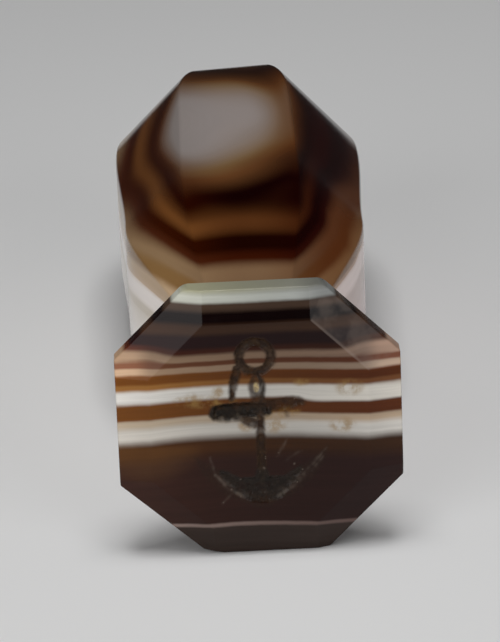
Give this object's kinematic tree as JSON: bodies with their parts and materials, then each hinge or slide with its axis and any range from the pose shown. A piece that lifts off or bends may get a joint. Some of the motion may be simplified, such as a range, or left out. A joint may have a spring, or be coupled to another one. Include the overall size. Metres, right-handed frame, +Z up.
{
  "type": "desk seal",
  "caption": "Hand seal of banded agate: a faceted octagonal handle with a narrow neck and an octagonal face engraved with an anchor, for pressing wax.",
  "frame": {"origin": "on the surface that the seal lies on, under the middle of its length", "axes": "+Y runs from the engraved face along the handle to the far end, +Z is up as it lies, +X is to the right as the face is looked at"},
  "size_m": [0.025, 0.075, 0.025],
  "materials": {
    "banded_agate": "polished, with a matte engraving"
  },
  "bodies": {
    "root": {"agate_seal": "banded_agate"}
  },
  "joints": []
}
